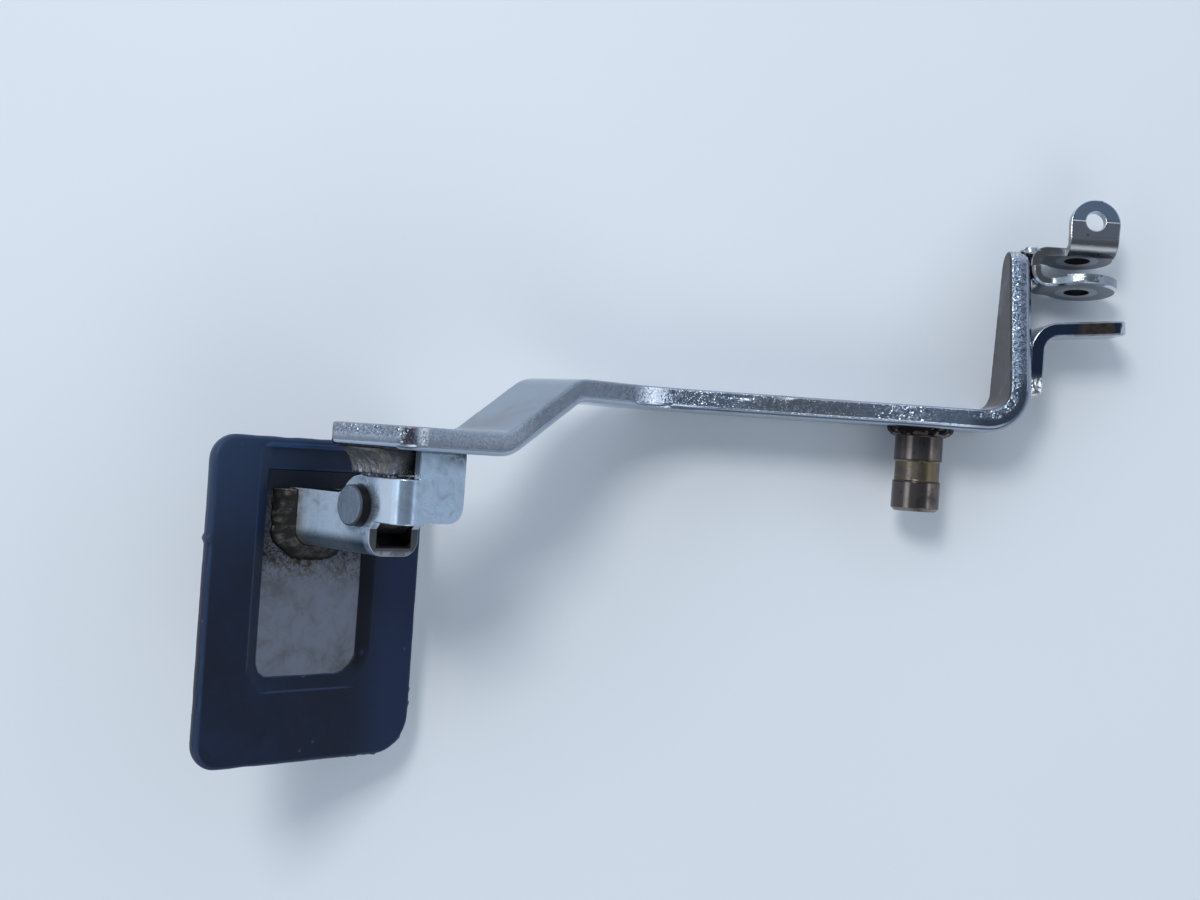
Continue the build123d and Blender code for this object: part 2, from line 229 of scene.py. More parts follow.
def makeFacets():  # small facets of a torn surface, each leaning its own way
    group, start, end = newGroup("facets", {"Scale": 2400.0, "Tilt": 0.5}, {"Lean": "Vector"})
    spot = place(group)
    wide = times(group, start["Scale"], 0.8)
    drift = clouds(group, spot, wide, Detail=2.0)["Color"]
    sway = vectors(group, "MULTIPLY", drift, inMm(0.35, 0.35, 0.35))[0]
    shade = cells(group, vectors(group, "ADD", spot, sway)[0], start["Scale"])["Color"]
    lean = vectors(group, "SUBTRACT", shade, (0.5, 0.5, 0.5))[0]
    plug(group, end, Lean=vectors(group, "SCALE", lean, Scale=start["Tilt"])[0])
    return group


def makeRims():  # rounded edges, as a normal and as a mask of the rims, where wear and painted edge highlights go
    outs = {"Normal": "Vector", "Mask": "Float"}
    group, start, end = newGroup("rims", {"Radius": 0.4 * mm}, outs)
    soft = addNode(group, "Bevel", {"samples": 8}, {"Radius": start["Radius"]}).outputs[0]
    turn = dotted(group, soft, plainNormal(group))
    plug(group, end, Normal=soft, Mask=fade(group, turn, 0.985, 0.8))
    return group


def makeStreaks():  # long thin scratches across the piece
    ins = {"Scale": 300.0, "Long": 0.05, "Amount": 0.4}
    group, start, end = newGroup("streaks", ins, {"Mask": "Float"})
    x, y, z = axes(group, place(group))
    slow = times(group, y, start["Long"])
    vector = addNode(group, "CombineXYZ", ins={0: x, 1: slow, 2: z}).outputs[0]
    cloud = clouds(group, vector, start["Scale"], Detail=5.0, Roughness=0.7)[0]
    plug(group, end, Mask=thick(group, cloud, 0.8, start["Amount"], 0.12))
    return group


hinge = {"place": frame["joints"][0]["pos_m"], "angle": 45.0}
hingeTurn = math.radians(hinge["angle"])
padFrame = Matrix.Translation(hinge["place"]) @ Matrix.Rotation(hingeTurn, 4, "Y")


def makePadPlace():  # where a point lies in the pad's own frame, about the hinge
    outs = {"Along": "Float", "Side": "Float", "Lift": "Float"}
    group, start, end = newGroup("pad place", {}, outs)
    away = vectors(group, "SUBTRACT", place(group), tuple(hinge["place"]))[0]
    for column, label in enumerate(outs):
        way = tuple(padFrame.to_3x3().col[column])
        group.links.new(dotted(group, away, way), end[label])
    return group


spots = makeSpots()
stains = makeStains()
grain = makeGrain()
facets = makeFacets()
rims = makeRims()
streaks = makeStreaks()
padPlace = makePadPlace()
padUp = tuple(padFrame.to_3x3().col[2])
padFore = tuple(-padFrame.to_3x3().col[0])
print("shared effects ready")


def stained(tree, scale, amount, softness):
    return useGroup(tree, stains, Scale=scale, Amount=amount, Softness=softness)["Mask"]


def spotted(tree, scale, share, size):
    return useGroup(tree, spots, Scale=scale, Share=share, Size=size)["Mask"]


def streaked(tree, scale, long, amount):
    return useGroup(tree, streaks, Scale=scale, Long=long, Amount=amount)["Mask"]


def grained(tree, scale, bite):
    return useGroup(tree, grain, Scale=scale, Bite=bite)


def rimmed(tree, settings):
    return useGroup(tree, rims, Radius=settings["edgeRadius"])


def facetted(tree, scale):
    return useGroup(tree, facets, Scale=scale, Tilt=1.0)["Lean"]


def newMaterial(name, **shaderSockets):
    material = bpy.data.materials.new(name)
    material.use_nodes = True
    tree = material.node_tree
    shader = tree.nodes["Principled BSDF"]
    for key, value in shaderSockets.items():
        shader.inputs[key.replace("_", " ")].default_value = value
    return material, tree, shader.inputs


def dress(name, material):
    piece = nodes[name]
    if piece.material_slots:
        piece.material_slots[0].material = material
    else:
        piece.data.materials.append(material)


def bumped(tree, height, strength, depth, under):
    ins = {"Strength": strength, "Distance": depth, "Height": height, "Normal": under}
    return addNode(tree, "Bump", ins=ins).outputs[0]


def leaning(tree, normal, lean, mask):  # the normal with the facets' lean where the mask says
    part = vectors(tree, "SCALE", lean, Scale=mask)[0]
    return vectors(tree, "NORMALIZE", vectors(tree, "ADD", normal, part)[0])[0]


# Meshes that stand for plain solids

def newThing(name, data):
    thing = bpy.data.objects.new(name, data)
    bpy.context.scene.collection.objects.link(thing)
    return thing


def newPiece(name, mesh, material, body):
    piece = newThing(name, mesh)
    mesh.materials.clear()
    mesh.materials.append(material)
    for face in mesh.polygons:
        face.use_smooth = True
    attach(piece, body)
    return piece


def remeshed(node, voxel, frameMatrix=None):  # a finely divided copy of a solid, in the given frame
    mesh = nodes[node].data.copy()
    if frameMatrix:
        mesh.transform(frameMatrix.inverted())
    helper = newThing("helper", mesh)
    step = helper.modifiers.new("remesh", "REMESH")
    step.mode = "VOXEL"
    step.voxel_size = voxel
    shape = helper.evaluated_get(bpy.context.evaluated_depsgraph_get())
    result = bpy.data.meshes.new_from_object(shape)
    bpy.data.objects.remove(helper)
    bpy.data.meshes.remove(mesh)
    return result


def relaxed(mesh, rounds):
    shape = bmesh.new()
    shape.from_mesh(mesh)
    everyAxis = {"use_axis_x": True, "use_axis_y": True, "use_axis_z": True}
    for i in range(rounds):
        bmesh.ops.smooth_vert(shape, verts=shape.verts, factor=0.5, **everyAxis)
    shape.to_mesh(mesh)
    shape.free()


def settled(mesh, node):  # puts the points back on the solid's own surface
    solid = nodes[node].data
    tree = BVHTree.FromPolygons([v.co for v in solid.vertices], [f.vertices for f in solid.polygons])
    for vert in mesh.vertices:
        vert.co = tree.find_nearest(vert.co)[0]


def moved(mesh, moveOf):  # moves each point by what moveOf gives for it
    mesh.update()
    moves = [moveOf(vert) for vert in mesh.vertices]
    for vert, move in zip(mesh.vertices, moves):
        vert.co += move


def roughness(spot):
    return noise.noise(spot) + 0.5 * noise.noise(spot * 2.3)


def lumped(mesh, scale, height, seed):
    shift = Vector((seed, 0, 0))
    moved(mesh, lambda vert: vert.normal * roughness(vert.co * scale + shift) * height)


# Lever bar: chrome plate over a blanked edge, torn on the inner side and rolled on the outer
# Its zones are given as where they start and end, and how soft they are

lever = {
    "thick": 5.4 * mm, "outerFace": 2.1 * mm, "bendX": 14.5 * mm, "bendInside": 5.0 * mm,
    "kink": -70.5 * mm, "kinkAngle": math.radians(41.0), "joggleStart": 29.4 * mm, "joggleRun": 20.0 * mm,
    "joggleDrop": 14.2 * mm, "voxel": 0.42 * mm,
    "chrome": (0.57, 0.64, 0.75, 1), "blue": (0.34, 0.44, 0.58, 1), "film": (0.27, 0.27, 0.29, 1),
    "haze": (0.34, 0.40, 0.48, 1), "grime": (0.066, 0.060, 0.064, 1), "pitAndShade": (0.03, 0.03, 0.04, 1),
    "purple": (0.20, 0.205, 0.255, 1), "paintedCornerShade": (0.16, 0.145, 0.19, 1), "paintedHighlight": (0.95, 0.97, 1.0, 1),
    "under": (0.11, 0.14, 0.19, 1), "rusty": (0.035, 0.027, 0.022, 1), "slate": (0.30, 0.37, 0.46, 1),
    "smooth": 0.14, "torn": 0.2, "burnish": 0.26, "dull": 0.14, "glareGloss": -0.08, "filmCover": 0.85,
    "tornFrom": 0.25, "tornRun": 0.1, "tornDepth": 0.05 * mm, "tornGrain": 800.0, "cutTurn": 0.6,
    "waver": 0.06, "front": inMm(36, 46), "endFace": inMm(76, 79), "joggle": inMm(6, 44, 5),
    "cornerDark": inMm(75.2, 77.8, 0.5), "cornerBright": inMm(72.4, 74.6, 0.6),
    "brownRun": inMm(-44, -16, 5), "shadedRollRun": inMm(-58, 4, 5), "seamRun": inMm(-44, 8, 4),
    "kinkGlitter": inMm(-72, -54, 8), "shaftGlitter": inMm(-11, 1, 7), "glare": inMm(-70.5, -65.0, 2.5),
    "arm": inMm(8, 14), "armFace": inMm(12, 16), "topEnd": inMm(45.8, 47.4),
    "glareLean": (0.7, 2.2, 4.4), "seamLean": (0.40, -0.30, 0.0), "bump": (0.5, 0.2 * mm),
}
leverReach = lever["bendInside"] + lever["thick"]
leverBendY = lever["outerFace"] + leverReach
# Dents in the near edge: place along x, share of the thickness, half length, half height, depth
leverDents = [
    (-47.4 * mm, 0.80, 3.6 * mm, 0.55 * mm, 0.22 * mm),
    (-36.6 * mm, 1.00, 2.2 * mm, 0.75 * mm, 0.30 * mm),
    (-62.0 * mm, 0.12, 4.0 * mm, 0.40 * mm, 0.12 * mm),
    (-94.0 * mm, 0.12, 1.6 * mm, 0.60 * mm, 0.18 * mm),
]


def barSection(spot):  # how far through the bar a point lies, and the way from its middle to its outer face
    x, y, z = spot
    along = (lever["kink"] - x) * math.cos(lever["kinkAngle"]) + z * math.sin(lever["kinkAngle"])
    part = within((along - lever["joggleStart"]) / lever["joggleRun"])
    outX = max(x - lever["bendX"], 0.0)
    outY = max(leverBendY - y - part * lever["joggleDrop"], 0.0)
    length = math.hypot(outX, outY) or 1.0
    through = (leverReach - length) / lever["thick"]
    return through, Vector((outX / length, -outY / length, 0))


def makeBarSection():  # the same as values over the surface, with a mask of the cut edge
    outs = {"Across": "Float", "Cut": "Float", "Along": "Float"}
    group, start, end = newGroup("bar section", {}, outs)
    x, y, z = axes(group, place(group))
    back = maths(group, "SUBTRACT", lever["kink"], x)
    along = times(group, z, math.sin(lever["kinkAngle"]))
    along = raised(group, back, math.cos(lever["kinkAngle"]), along)
    finish = lever["joggleStart"] + lever["joggleRun"]
    ins = {0: along, 1: lever["joggleStart"], 2: finish, 3: 0.0, 4: lever["joggleDrop"]}
    drop = addNode(group, "MapRange", ins=ins).outputs[0]
    outX = most(group, maths(group, "SUBTRACT", x, lever["bendX"]), 0.0)
    level = maths(group, "ADD", y, drop)
    outY = most(group, maths(group, "SUBTRACT", leverBendY, level), 0.0)
    way = addNode(group, "CombineXYZ", ins={0: outX, 1: times(group, outY, -1.0)}).outputs[0]
    length = vectors(group, "LENGTH", way)["Value"]
    through = maths(group, "DIVIDE", maths(group, "SUBTRACT", leverReach, length), lever["thick"])
    unit = vectors(group, "NORMALIZE", way)[0]
    turn = maths(group, "ABSOLUTE", dotted(group, unit, facing(group)))
    plug(group, end, Across=through, Cut=fade(group, turn, 0.75, 0.45), Along=along)
    return group


def makeLeverChrome():
    material, tree, shader = newMaterial("lever chrome", Specular_IOR_Level=0.05)
    section = useGroup(tree, makeBarSection())
    across, cut, along = section["Across"], section["Cut"], section["Along"]
    x, y = axes(tree, place(tree))[:2]
    coarse = grained(tree, 2500.0, 0.6)
    fine = grained(tree, 8200.0, 0.3)
    lean = facetted(tree, 2900.0)
    cloud = stained(tree, 70.0, 0.5, 0.3)
    film = stained(tree, 55.0, 0.55, 0.25)
    bright = stained(tree, 330.0, 0.62, 0.2)
    dots = spotted(tree, 1900.0, 0.16, 0.42)
    beading = spotted(tree, 1300.0, 0.6, 0.5)
    wander = grained(tree, 420.0, 0.2)["Height"]
    wavy = raised(tree, wander, lever["waver"], across)
    tear = lever["tornFrom"]
    torn = times(tree, fade(tree, wavy, tear, tear + 0.06), cut)
    rolled = times(tree, fade(tree, wavy, tear + 0.05, tear - 0.02), cut)
    seam = times(tree, band(tree, wavy, tear - 0.02, tear + 0.03, 0.02), cut, beading)
    seam = times(tree, seam, band(tree, x, *lever["seamRun"]))
    shadedRollRun = band(tree, x, *lever["shadedRollRun"])
    # Front run and its end
    front = fade(tree, along, *lever["front"])
    endFace = fade(tree, along, *lever["endFace"])
    joggle = band(tree, along, *lever["joggle"])
    # the end's rounded corner gets a painted shade band and a painted highlight band
    cornerDark = times(tree, band(tree, along, *lever["cornerDark"]), torn)
    cornerBright = times(tree, band(tree, along, *lever["cornerBright"]), torn)
    tip = times(tree, endFace, fade(tree, across, 0.3, 0.7), torn)
    satin = times(tree, endFace, band(tree, wavy, 0.2, 0.5, 0.2), torn)
    shaded = times(tree, front, fade(tree, across, 0.75, 0.25), 0.3)
    brown = times(tree, band(tree, x, *lever["brownRun"]), 0.8)
    brown = most(tree, brown, times(tree, front, less(tree, endFace), 0.6))
    filmy = most(tree, brown, satin, times(tree, tip, 0.65))
    # Arm at the rear end
    arm = fade(tree, x, *lever["arm"])
    inner = fade(tree, across, 0.45, 0.65)
    topEnd = times(tree, fade(tree, y, *lever["topEnd"]), cut)
    armFace = times(tree, looking(tree, (-1, 0, 0)), fade(tree, x, *lever["armFace"]))
    armFilm = fade(tree, armFace, 0.3, 0.8)
    mottled = most(tree, times(tree, cloud, 0.7), times(tree, bright, 0.5))
    # Glare at the kink, painted in as a highlight and leaned normals, and where the torn edge glitters
    patchy = fade(tree, wander, 0.2, 0.5, 0.93, 1.0)
    glare = times(tree, band(tree, x, *lever["glare"]), cut, patchy)
    glitter = times(tree, band(tree, x, *lever["kinkGlitter"]), 0.9)
    glitter = most(tree, glitter, times(tree, band(tree, x, *lever["shaftGlitter"]), 0.9))
    glitter = most(tree, glitter, times(tree, arm, inner), tip, topEnd)
    speck = times(tree, torn, raised(tree, glitter, 0.7, 0.3))
    colour = painted(tree, lever["chrome"], lever, [
        ("blue", 0.7, cloud, cut),
        ("haze", 1, most(tree, less(tree, cut), times(tree, rolled, 0.7))),
        # painted reflection of the shadow under the bar, on the rolled band
        ("under", 0.7, rolled, shadedRollRun),
        ("film", 0.5, film, less(tree, cut)),
        ("film", 0.8, filmy, torn),
        ("slate", 0.8, arm, cut),
        ("purple", 0.7, arm, cut, less(tree, inner)),
        # painted shade on the torn edge of the front run and the joggle
        ("pitAndShade", 1, torn, most(tree, shaded, times(tree, joggle, 0.5))),
        # painted shade band on the corner
        ("paintedCornerShade", 0.85, cornerDark),
        # painted highlight band on the corner
        ("paintedHighlight", 0.9, cornerBright, coarse["Mask"]),
        ("grime", 1, armFilm, raised(tree, film, -0.3, 0.98)),
        ("rusty", 1, armFilm, mottled),
        # painted highlight: the glare at the kink and the arm's top end
        ("paintedHighlight", 0.7, most(tree, glare, topEnd)),
        ("pitAndShade", 0.4, coarse["Mask"], speck),
        ("pitAndShade", 0.7, dots, speck),
        # painted highlight: the bright dotted line along the seam
        ("paintedHighlight", 0.6, seam),
    ])
    rough = raised(tree, torn, lever["torn"] - lever["smooth"], lever["smooth"])
    rough = raised(tree, rolled, lever["burnish"] - lever["smooth"], rough)
    rough = raised(tree, glare, lever["glareGloss"], rough)
    dull = most(tree, satin, times(tree, brown, torn, 0.6), armFilm)
    rough = raised(tree, dull, lever["dull"], rough)
    metal = less(tree, times(tree, armFilm, lever["filmCover"]))
    height = times(tree, torn, coarse["Height"], raised(tree, glitter, 0.6, 0.4))
    height = raised(tree, fine["Height"], raised(tree, torn, 0.3, 0.015), height)
    normal = bumped(tree, height, *lever["bump"], plainNormal(tree))
    normal = leaning(tree, normal, lever["glareLean"], glare)
    normal = leaning(tree, normal, lever["seamLean"], times(tree, seam, 0.9))
    burst = times(tree, glitter, raised(tree, bright, 0.35, 0.22))
    sparkle = times(tree, torn, maths(tree, "ADD", raised(tree, front, 0.15, 0.12), burst))
    corner = most(tree, times(tree, cornerBright, 0.6), times(tree, cornerDark, 0.35))
    sparkle = most(tree, sparkle, corner, times(tree, tip, 0.7))
    sparkle = times(tree, sparkle, less(tree, times(tree, glare, 0.7)))
    normal = leaning(tree, normal, lean, sparkle)
    plug(tree, shader, Base_Color=colour, Roughness=rough, Metallic=metal, Normal=normal)
    return material


def tornMove(vert):  # how far the torn grain and the dents push a point in
    through, outward = barSection(vert.co)
    cut = 1.0 - min(abs(outward.dot(vert.normal)) / lever["cutTurn"], 1.0)
    torn = within((through - lever["tornFrom"]) / lever["tornRun"])
    depth = cut * torn * lever["tornDepth"] * (0.7 + roughness(vert.co * lever["tornGrain"]))
    if vert.normal.z > 0.5:
        for x, share, halfLength, halfHeight, deep in leverDents:
            away = ((vert.co.x - x) / halfLength) ** 2
            away += ((through - share) * lever["thick"] / halfHeight) ** 2
            depth += deep * math.exp(-away)
    return vert.normal * -max(depth, 0.0)


def makeLeverBar():
    mesh = remeshed("lever_arm", lever["voxel"])
    relaxed(mesh, 3)
    settled(mesh, "lever_arm")
    relaxed(mesh, 2)
    moved(mesh, tornMove)
    piece = newPiece("leverBar", mesh, makeLeverChrome(), "lever")
    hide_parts("lever_arm")


makeLeverBar()
print("lever bar done")


# Clevis with its spring eye: chrome over pressed steel, greyed and stained

clevis = {
    "chrome": (0.62, 0.68, 0.76, 1), "blue": (0.66, 0.77, 0.90, 1), "brown": (0.68, 0.62, 0.61, 1),
    "grey": (0.15, 0.155, 0.17, 1), "web": (0.19, 0.18, 0.18, 1), "sootAndShade": (0.012, 0.011, 0.012, 1),
    "creaseHighlight": (0.95, 0.95, 0.95, 1),
    "bore": inMm(37.5, 44.4, -2.3), "boreAxis": (0.0, 0.990268, -0.139173),
    "ring": inMm(3.2, 5.2, 0.25), "well": inMm(3.2, 3.08), "webEnd": inMm(31.6, 28.6),
    "eyeFoot": inMm(51.5, 50.0), "eyeMiddle": inMm(55.3, 58.3), "eyeLine": inMm(56.7, 56.9, 0.08),
    "eyeBend": inMm(48.8, 52.6, 0.8), "edgeRadius": 0.4 * mm, "bump": (0.16, 0.2 * mm),
    "smooth": 0.17, "dull": 0.13, "dark": 0.4,
}


def makeClevisChrome():
    material, tree, shader = newMaterial("clevis chrome", Metallic=1.0)
    edge = rimmed(tree, clevis)
    x, y = axes(tree, place(tree))[:2]
    cloud = stained(tree, 110.0, 0.6, 0.3)
    glint = stained(tree, 380.0, 0.55, 0.1)
    dots = spotted(tree, 900.0, 0.06, 0.36)
    coarse = grained(tree, 2100.0, 0.5)
    lean = facetted(tree, 2900.0)
    away = vectors(tree, "SUBTRACT", place(tree), clevis["bore"])[0]
    side = vectors(tree, "CROSS_PRODUCT", away, clevis["boreAxis"])[0]
    radius = vectors(tree, "LENGTH", side)["Value"]
    flat = maths(tree, "ABSOLUTE", looking(tree, clevis["boreAxis"]))
    low = fade(tree, y, *clevis["eyeFoot"])
    earFace = times(tree, fade(tree, flat, 0.7, 0.92), low)
    ring = times(tree, band(tree, radius, *clevis["ring"]), earFace)
    well = times(tree, fade(tree, radius, *clevis["well"]), low)
    cut = times(tree, fade(tree, flat, 0.5, 0.3), low)
    web = times(tree, cut, fade(tree, x, *clevis["webEnd"]))
    # The eye above its bend
    eye = less(tree, low)
    upper = fade(tree, y, *clevis["eyeMiddle"])
    line = times(tree, band(tree, y, *clevis["eyeLine"]), eye)
    bend = band(tree, y, *clevis["eyeBend"])
    flankX = maths(tree, "ABSOLUTE", axes(tree, facing(tree))[0])
    eyeEdge = times(tree, fade(tree, flankX, 0.4, 0.7), eye)
    colour = painted(tree, clevis["chrome"], clevis, [
        ("blue", 0.7, cloud),
        # painted reflection: the eye's upper half bluish, its lower half brownish
        ("blue", 0.75, eye, upper),
        ("brown", 0.75, eye, less(tree, upper)),
        # painted shade over the eye's bend band
        ("web", 0.75, bend),
        ("grey", 0.72, most(tree, cut, eyeEdge)),
        ("web", 0.85, web),
        ("grey", 0.9, earFace, less(tree, times(tree, ring, 0.45))),
        # painted highlight along the eye's crease, broken up in patches
        ("creaseHighlight", 0.35, line, glint),
        ("sootAndShade", 0.7, dots),
        # painted shade inside the bores
        ("sootAndShade", 0.97, well),
    ])
    gloss = raised(tree, most(tree, web, earFace, cut, bend), clevis["dull"], clevis["smooth"])
    gloss = raised(tree, most(tree, well, line), clevis["dark"], gloss)
    normal = bumped(tree, coarse["Height"], *clevis["bump"], edge["Normal"])
    normal = leaning(tree, normal, lean, times(tree, cut, less(tree, web), 0.18))
    plug(tree, shader, Base_Color=colour, Roughness=gloss, Normal=normal)
    return material


dress("clevis_bracket", makeClevisChrome())
print("clevis done")


# Switch tab: dark blue cut edge with a rust patch, bright end, and a foot painted bright as a highlight

switchTab = {
    "chrome": (0.56, 0.60, 0.66, 1), "navy": (0.10, 0.135, 0.22, 1), "rust": (0.11, 0.082, 0.058, 1),
    "dark": (0.04, 0.03, 0.023, 1), "foot": (0.86, 0.86, 0.82, 1),
    "rustRun": inMm(36.5, 45.8, 1.4), "ragged": 1.2 * mm, "end": inMm(46.4, 47.2), "footRun": inMm(18, 15),
    "edgeRadius": 0.6 * mm, "bump": (0.12, 0.2 * mm), "smooth": 0.13, "dull": 0.26,
}


def makeTabChrome():
    material, tree, shader = newMaterial("tab chrome", Metallic=1.0)
    edge = rimmed(tree, switchTab)
    x, y = axes(tree, place(tree))[:2]
    cloud = stained(tree, 130.0, 0.7, 0.3)
    speck = stained(tree, 420.0, 0.6, 0.2)
    fine = grained(tree, 3200.0, 0.4)
    lean = facetted(tree, 1700.0)
    near = fade(tree, looking(tree, (0, 0, 1)), 0.6, 0.9)
    end = fade(tree, x, *switchTab["end"])
    foot = fade(tree, y, *switchTab["footRun"])
    ragged = raised(tree, speck, switchTab["ragged"], x)
    rust = times(tree, band(tree, ragged, *switchTab["rustRun"]), near)
    colour = painted(tree, switchTab["chrome"], switchTab, [
        # painted highlight on the foot
        ("foot", 1, foot),
        ("navy", 1, near, less(tree, most(tree, end, foot))),
        ("rust", 0.25, cloud),
        ("rust", 0.9, rust),
        ("dark", 0.7, rust, speck),
    ])
    gloss = raised(tree, rust, switchTab["dull"], switchTab["smooth"])
    normal = bumped(tree, fine["Height"], *switchTab["bump"], edge["Normal"])
    normal = leaning(tree, normal, lean, raised(tree, most(tree, foot, end), 0.75, 0.03))
    plug(tree, shader, Base_Color=colour, Roughness=gloss, Normal=normal)
    return material


dress("switch_tab", makeTabChrome())
print("switch tab done")


# Lug: plated forging, brown, with painted shade under the lever and on its inner side, and painted glints

lug = {
    "chrome": (0.34, 0.34, 0.35, 1), "brown": (0.20, 0.155, 0.11, 1), "navy": (0.035, 0.045, 0.07, 1),
    "sootAndShade": (0.012, 0.012, 0.014, 1), "glint": (0.75, 0.79, 0.84, 1),
    "sootAndShadeRun": inMm(8.8, 13.0), "glintRun": inMm(5.2, 8.8, 0.4), "innerRun": inMm(5.0, 4.3),
    "rearRun": inMm(-7, 1), "edgeRadius": 0.8 * mm, "bump": (0.7, 0.5 * mm), "metal": 0.8,
    "smooth": 0.17, "brownDull": 0.15, "sootAndShadeDull": 0.2,
}


def makeLugChrome():
    material, tree, shader = newMaterial("lug chrome", Specular_IOR_Level=0.2)
    edge = rimmed(tree, lug)
    spot = useGroup(tree, padPlace)
    brown = stained(tree, 330.0, 0.72, 0.25)
    navy = stained(tree, 410.0, 0.72, 0.2)
    speck = stained(tree, 520.0, 0.5, 0.2)
    lumps = grained(tree, 700.0, 0.4)
    # painted shade under the lever, broken up by specks of soot
    sootAndShade = times(tree, fade(tree, spot["Side"], *lug["sootAndShadeRun"]), raised(tree, speck, 0.4, 0.6))
    dark = most(tree, sootAndShade, fade(tree, spot["Side"], *lug["innerRun"]))
    glint = times(tree, band(tree, spot["Side"], *lug["glintRun"]), speck)
    rear = fade(tree, spot["Along"], *lug["rearRun"])
    colour = painted(tree, lug["chrome"], lug, [
        ("brown", 0.6, brown),
        ("navy", 1, most(tree, times(tree, navy, 0.4), times(tree, rear, 0.6))),
        # painted highlight in patches along the lug
        ("glint", 1, glint),
        # painted shade under the lever and on the inner side
        ("sootAndShade", 1, dark),
    ])
    metal = times(tree, less(tree, dark), lug["metal"])
    gloss = raised(tree, brown, lug["brownDull"], lug["smooth"])
    gloss = raised(tree, sootAndShade, lug["sootAndShadeDull"], gloss)
    normal = bumped(tree, lumps["Height"], *lug["bump"], edge["Normal"])
    plug(tree, shader, Base_Color=colour, Metallic=metal, Roughness=gloss, Normal=normal)
    return material


dress("hinge_lug", makeLugChrome())
print("lug done")


# Pad bracket: satin zinc, painted black inside as shade, with grime round the pin and painted highlights

bracket = {
    "zinc": (0.56, 0.68, 0.82, 1), "cloud": (0.30, 0.36, 0.44, 1), "grime": (0.05, 0.045, 0.045, 1),
    "bright": (0.70, 0.77, 0.84, 1), "bend": (0.045, 0.065, 0.09, 1), "stain": (0.20, 0.14, 0.09, 1),
    "raw": (0.075, 0.066, 0.064, 1), "rawLowHighlight": (0.36, 0.35, 0.35, 1), "black": (0.002, 0.002, 0.0025, 1),
    "pinGrime": inMm(9.5, 4.8), "grimeLift": inMm(-4, 3), "nearWeb": inMm(-4.5, -6.5),
    "channel": inMm(5.1, 4.85), "floor": inMm(-9.45, -9.2), "tabUnder": inMm(14.2, 14.0),
    "slotRim": inMm(4.2, 5.2, 0.1), "rawSide": inMm(-9.7, -10.5),
    "cornerSide": inMm(8.0, 13.3), "cornerAlong": inMm(-2, 10), "fold": inMm(6.5, 13.5, 1.2),
    "bendSide": inMm(-6.0, -9.0), "bendLift": inMm(3.5, 2.0), "burnLift": inMm(-19, -25),
    "bareLift": inMm(-7, 4), "edgeRadius": 0.6 * mm, "bump": (0.14, 0.1 * mm),
    "satin": 0.27, "cloudDull": 0.06, "foldGloss": -0.12, "grimeDull": 0.25, "insideDull": 0.6,
}


def makeZinc():
    material, tree, shader = newMaterial("satin zinc", Specular_IOR_Level=0.4)
    edge = rimmed(tree, bracket)
    spot = useGroup(tree, padPlace)
    along, side, lift = spot["Along"], spot["Side"], spot["Lift"]
    cloud = stained(tree, 200.0, 0.66, 0.45)
    brown = stained(tree, 120.0, 0.42, 0.2)
    patch = stained(tree, 480.0, 0.62, 0.12)
    dots = spotted(tree, 1900.0, 0.5, 0.5)
    brushed = streaked(tree, 900.0, 0.08, 0.5)
    fine = grained(tree, 4200.0, 0.3)
    near = times(tree, fade(tree, reach(tree, side, lift), *bracket["pinGrime"]),
                 fade(tree, lift, *bracket["grimeLift"], 0.25, 1.0),
                 fade(tree, along, *bracket["nearWeb"]))
    grime = times(tree, most(tree, dots, patch), near)
    channelShade = times(tree, fade(tree, maths(tree, "ABSOLUTE", along), *bracket["channel"]),
                   fade(tree, side, *bracket["floor"]), fade(tree, lift, *bracket["tabUnder"]))
    raw = times(tree, band(tree, lift, *bracket["slotRim"]), fade(tree, looking(tree, padUp), 0.7, 0.95))
    rawTone = times(tree, fade(tree, side, *bracket["rawSide"]), less(tree, times(tree, patch, 0.7)))
    rawTone = tint(tree, rawTone, bracket["raw"], bracket["rawLowHighlight"])
    corner = times(tree, fade(tree, side, *bracket["cornerSide"]),
                   fade(tree, along, *bracket["cornerAlong"], 0.35, 1.0), raised(tree, patch, 0.5, 0.5))
    fold = band(tree, lift, *bracket["fold"])
    under = fade(tree, side, *bracket["bendSide"])
    under = times(tree, under, fade(tree, lift, *bracket["bendLift"], 0.0, 0.9))
    burn = times(tree, fade(tree, lift, *bracket["burnLift"]), raised(tree, patch, 0.4, 0.4))
    colour = painted(tree, bracket["zinc"], bracket, [
        ("cloud", 1, cloud),
        ("bright", 0.35, brushed),
        ("stain", 0.5, brown),
        # darker towards the tab's top corner next to the lever
        ("grime", 0.85, corner),
        ("grime", 0.65, grime),
        # painted highlight on the fold
        ("bright", 0.8, fold),
        # cut face of the slot rim, dark, with a painted highlight along its low side
        (rawTone, 0.92, raw),
        # painted shade along the web's lower bend
        ("bend", 1, under),
        ("stain", 1, burn),
        # lighter edges: wear and painted highlight
        ("bright", 0.55, edge["Mask"]),
        # painted shade inside the channel
        ("black", 1, channelShade),
    ])
    gloss = raised(tree, cloud, bracket["cloudDull"], bracket["satin"])
    gloss = raised(tree, fold, bracket["foldGloss"], gloss)
    gloss = raised(tree, most(tree, grime, raw, corner), bracket["grimeDull"], gloss)
    gloss = raised(tree, channelShade, bracket["insideDull"], gloss)
    metal = times(tree, less(tree, channelShade), fade(tree, lift, *bracket["bareLift"], 0.3, 0.88))
    normal = bumped(tree, fine["Height"], *bracket["bump"], edge["Normal"])
    plug(tree, shader, Base_Color=colour, Roughness=gloss, Metallic=metal, Normal=normal)
    return material


dress("pad_bracket", makeZinc())
print("pad bracket done")


# Hinge pin: cropped grey end, sides near black, partly oxide and partly painted shade

